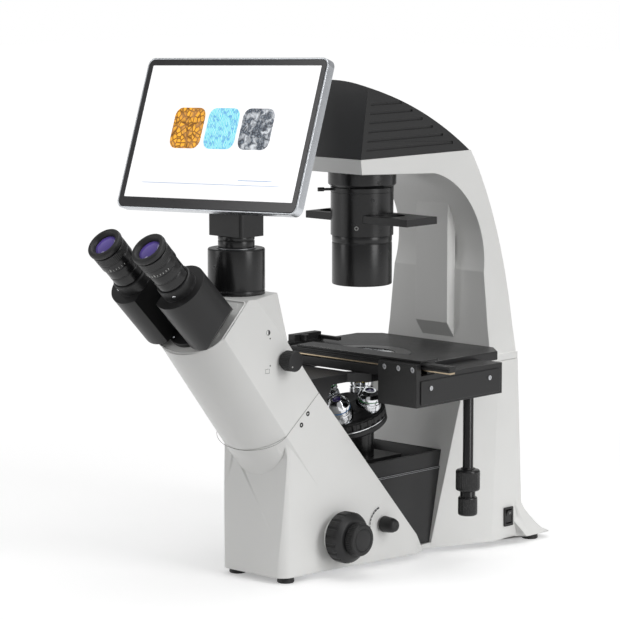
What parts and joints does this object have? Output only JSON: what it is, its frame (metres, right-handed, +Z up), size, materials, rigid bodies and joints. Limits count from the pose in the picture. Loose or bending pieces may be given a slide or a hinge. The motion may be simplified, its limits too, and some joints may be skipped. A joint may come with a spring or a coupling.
{
  "type": "inverted microscope",
  "caption": "Inverted microscope: white leaning stand with arch, lamp head and long condenser, objectives under a mechanical stage, folding binocular tubes and a tablet camera.",
  "frame": {"origin": "on the table, under the middle of the instrument's bounding box", "axes": "+X to the user's right, +Y away from the user towards the arch, +Z up"},
  "size_m": [0.3146, 0.5936, 0.5682],
  "materials": {
    "white_paint": "satin",
    "black_plastic": "matt",
    "grey_plastic": "matt",
    "rubber": "matt",
    "chrome": "polished",
    "steel": "brushed",
    "black_paint": "matt",
    "black_anodised": "anodised",
    "brass": "satin",
    "glass": "polished",
    "mirror": "polished",
    "aluminium": "satin",
    "bezel": "glossy",
    "screen": "glossy"
  },
  "bodies": {
    "stand": {"base_casting": "white_paint", "bottom_cover": "steel", "feet": "rubber", "head_housing": "white_paint", "trough": "black_plastic", "focus_guide": "black_paint", "relay_mirror": "mirror", "stage_support": "black_paint", "stage_plate": "black_paint", "stage_insert": "black_anodised", "arch_casting": "white_paint", "lamp_cover": "black_plastic", "lamp_lens": "glass", "condenser_mount": "black_paint", "condenser_body": "black_paint", "condenser_tube": "black_paint", "condenser_lens": "glass", "knob_bosses": "black_plastic", "binocular_hub": "black_paint", "head_screws": "chrome", "phototube": "black_paint", "switch_frame": "black_plastic", "power_inlet": "black_plastic"},
    "nosepiece": {"focus_tube": "black_paint", "focus_rack": "steel", "nosepiece_base": "black_paint"},
    "turret": {"turret": "black_anodised", "active_objective": "chrome", "side_objectives": "chrome"},
    "coarse_focus": {"coarse_sleeve": "steel", "coarse_knobs": "black_plastic"},
    "fine_focus": {"fine_shaft": "steel", "fine_knobs": "black_plastic"},
    "light_control": {"light_knob": "black_plastic"},
    "selector": {"selector_knob": "black_plastic"},
    "prism_carriage": {"prism_slider": "black_paint"},
    "stage_carriage": {"y_carriage": "black_paint", "carriage_screws": "chrome", "carriage_cover": "black_paint", "stage_bar": "black_anodised"},
    "stage_slide": {"x_slide": "black_anodised", "x_rack": "brass", "specimen_holder": "black_anodised"},
    "y_drive": {"y_knob": "black_plastic"},
    "x_drive": {"x_knob": "black_plastic"},
    "aperture": {"aperture_ring": "black_paint"},
    "phase_plate": {"phase_slider": "black_anodised"},
    "power_rocker": {"switch_rocker": "black_plastic"},
    "left_tube": {"tube_housing_left": "black_paint", "eyepiece_left": "black_paint"},
    "right_tube": {"tube_housing_right": "black_paint", "eyepiece_right": "black_paint"},
    "left_dioptre": {"dioptre_ring_left": "black_paint"},
    "right_dioptre": {"dioptre_ring_right": "black_paint"},
    "camera": {"camera_adapter": "black_paint", "camera_body": "grey_plastic"},
    "tablet": {"tablet_bracket": "black_paint", "tablet_shell": "aluminium", "tablet_bezel": "bezel", "tablet_screen": "screen"}
  },
  "joints": [
    {"name": "nosepiece_lift", "type": "slide", "parent": "stand", "child": "nosepiece", "axis": [0, 0, 1], "range_m": [-0.002, 0.007]},
    {"name": "coarse_turn", "type": "hinge", "parent": "stand", "child": "coarse_focus", "pos_m": [-0.02339, -0.02121, 0.044], "axis": [1, 0, 0], "range_deg": [-19.6, 67.35]},
    {"name": "fine_turn", "type": "hinge", "parent": "stand", "child": "fine_focus", "pos_m": [-0.02339, -0.02121, 0.044], "axis": [1, 0, 0], "continuous": true},
    {"name": "turret_turn", "type": "hinge", "parent": "nosepiece", "child": "turret", "pos_m": [-0.02339, 0.04795, 0.16973], "axis": [0, -0.2756, 0.9613], "continuous": true},
    {"name": "light_turn", "type": "hinge", "parent": "stand", "child": "light_control", "pos_m": [0.03661, 0.04479, 0.048], "axis": [1, 0, 0], "range_deg": [-140, 140]},
    {"name": "prism_slide", "type": "slide", "parent": "stand", "child": "prism_carriage", "axis": [1, 0, 0], "range_m": [-0.008, 0]},
    {"name": "selector_turn", "type": "hinge", "parent": "stand", "child": "selector", "pos_m": [0.03661, -0.10021, 0.245], "axis": [1, 0, 0], "range_deg": [-0.5, 90.5]},
    {"name": "stage_y", "type": "slide", "parent": "stand", "child": "stage_carriage", "axis": [0, 1, 0], "range_m": [-0.075, 0.0005]},
    {"name": "stage_x", "type": "slide", "parent": "stage_carriage", "child": "stage_slide", "axis": [1, 0, 0], "range_m": [-0.057, 0.057]},
    {"name": "y_knob_turn", "type": "hinge", "parent": "stage_carriage", "child": "y_drive", "pos_m": [0.10061, 0.11429, 0.15], "axis": [0, 0, 1], "range_deg": [-506.05, 3.87]},
    {"name": "x_knob_turn", "type": "hinge", "parent": "stage_carriage", "child": "x_drive", "pos_m": [0.10061, 0.11429, 0.07], "axis": [0, 0, 1], "range_deg": [-544.81, 544.81]},
    {"name": "aperture_turn", "type": "hinge", "parent": "stand", "child": "aperture", "pos_m": [-0.02339, 0.07679, 0.4117], "axis": [0, 0, 1], "range_deg": [-30, 60]},
    {"name": "phase_slide", "type": "slide", "parent": "stand", "child": "phase_plate", "axis": [1, 0, 0], "range_m": [-0.044, 0.044]},
    {"name": "power_rock", "type": "hinge", "parent": "stand", "child": "power_rocker", "pos_m": [0.05828, 0.22979, 0.032], "axis": [0, 1, 0], "range_deg": [0, 12]},
    {"name": "right_tube_fold", "type": "hinge", "parent": "stand", "child": "right_tube", "pos_m": [-0.02339, -0.17298, 0.29523], "axis": [0, -0.7071, 0.7071], "range_deg": [-18.2, 29.8]},
    {"name": "left_tube_fold", "type": "hinge", "parent": "stand", "child": "left_tube", "pos_m": [-0.02339, -0.17298, 0.29523], "axis": [0, -0.7071, 0.7071], "range_deg": [-29.9, 18.3]},
    {"name": "right_dioptre_turn", "type": "hinge", "parent": "right_tube", "child": "right_dioptre", "pos_m": [0.00911, -0.18621, 0.282], "axis": [0, -0.7071, 0.7071], "range_deg": [-150, 150]},
    {"name": "left_dioptre_turn", "type": "hinge", "parent": "left_tube", "child": "left_dioptre", "pos_m": [-0.05589, -0.18621, 0.282], "axis": [0, -0.7071, 0.7071], "range_deg": [-150, 150]},
    {"name": "camera_swivel", "type": "hinge", "parent": "stand", "child": "camera", "pos_m": [-0.02339, -0.12171, 0.376], "axis": [0, 0, 1], "range_deg": [-40, 40]},
    {"name": "tablet_tilt", "type": "hinge", "parent": "camera", "child": "tablet", "pos_m": [-0.02339, -0.13523, 0.45767], "axis": [1, 0, 0], "range_deg": [-12, 15]}
  ],
  "couplings": [
    {"joint": "coarse_turn", "follows": "nosepiece_lift", "rad_per_m": 166.67},
    {"joint": "selector_turn", "follows": "prism_slide", "rad_per_m": -196.35},
    {"joint": "y_knob_turn", "follows": "stage_y", "rad_per_m": 117.65},
    {"joint": "x_knob_turn", "follows": "stage_x", "rad_per_m": 166.67},
    {"joint": "left_tube_fold", "follows": "right_tube_fold", "ratio": -1}
  ]
}
